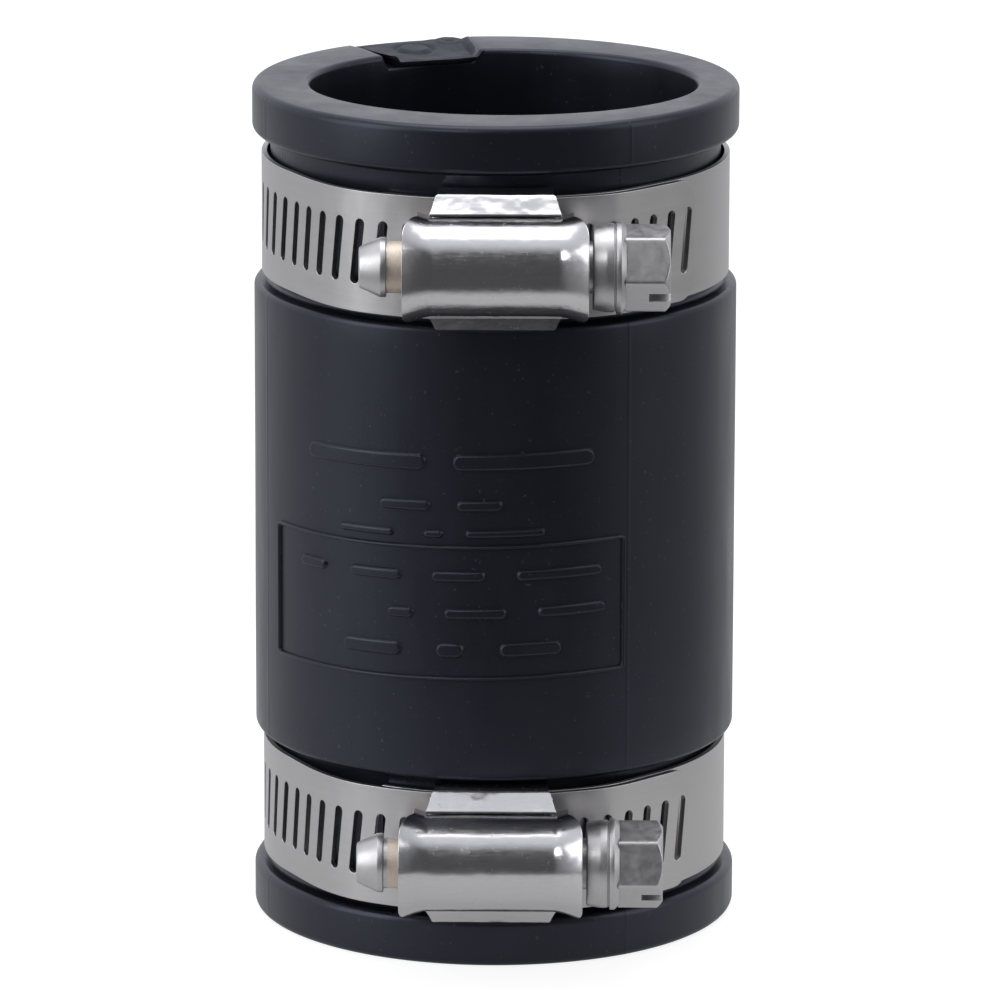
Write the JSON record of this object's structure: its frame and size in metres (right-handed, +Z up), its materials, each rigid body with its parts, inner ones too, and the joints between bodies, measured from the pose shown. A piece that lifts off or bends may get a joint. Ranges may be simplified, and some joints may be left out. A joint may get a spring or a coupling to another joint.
{
  "type": "flexible rubber pipe coupling",
  "caption": "Flexible rubber sleeve that joins two pipe ends, with a worm-drive band clamp seated in a groove at each end.",
  "frame": {"origin": "on the ground that the lower rim stands on, midway between the sleeve's back and the front of the clamp housings, 4.8 mm in front of the bore axis", "axes": "+Z up, along the bore axis; the clamp housings face -Y; the screws lie along X with their hex heads at +X"},
  "size_m": [0.0512, 0.0613, 0.0893],
  "materials": {
    "black_rubber": "moulded black flexible rubber, satin, with faint mould lines and handling scuffs",
    "band_steel": "rolled stainless strip, fine lengthwise grain, dull bright",
    "saddle_steel": "pressed stainless sheet",
    "housing_steel": "pressed stainless sheet, bright and smooth with soft reflections",
    "screw_steel": "plated steel, slightly grainy"
  },
  "bodies": {
    "sleeve": {"sleeve": "black_rubber"},
    "upper_clamp": {"upper_band": "band_steel", "upper_saddle": "saddle_steel", "upper_housing": "housing_steel"},
    "upper_screw": {"upper_screw": "screw_steel"},
    "lower_clamp": {"lower_band": "band_steel", "lower_saddle": "saddle_steel", "lower_housing": "housing_steel"},
    "lower_screw": {"lower_screw": "screw_steel"}
  },
  "joints": [
    {"name": "upper_clamp_turn", "type": "hinge", "parent": "sleeve", "child": "upper_clamp", "pos_m": [0, 0.005, 0.07565], "axis": [0, 0, 1], "continuous": true},
    {"name": "upper_screw_turn", "type": "hinge", "parent": "upper_clamp", "child": "upper_screw", "pos_m": [0, -0.02475, 0.07565], "axis": [1, 0, 0], "continuous": true, "deforming": ["upper_band"]},
    {"name": "lower_clamp_turn", "type": "hinge", "parent": "sleeve", "child": "lower_clamp", "pos_m": [0, 0.005, 0.01255], "axis": [0, 0, 1], "continuous": true},
    {"name": "lower_screw_turn", "type": "hinge", "parent": "lower_clamp", "child": "lower_screw", "pos_m": [-0.00031, -0.02475, 0.01255], "axis": [0.9999, -0.0105, 0], "continuous": true, "deforming": ["lower_band"]}
  ]
}
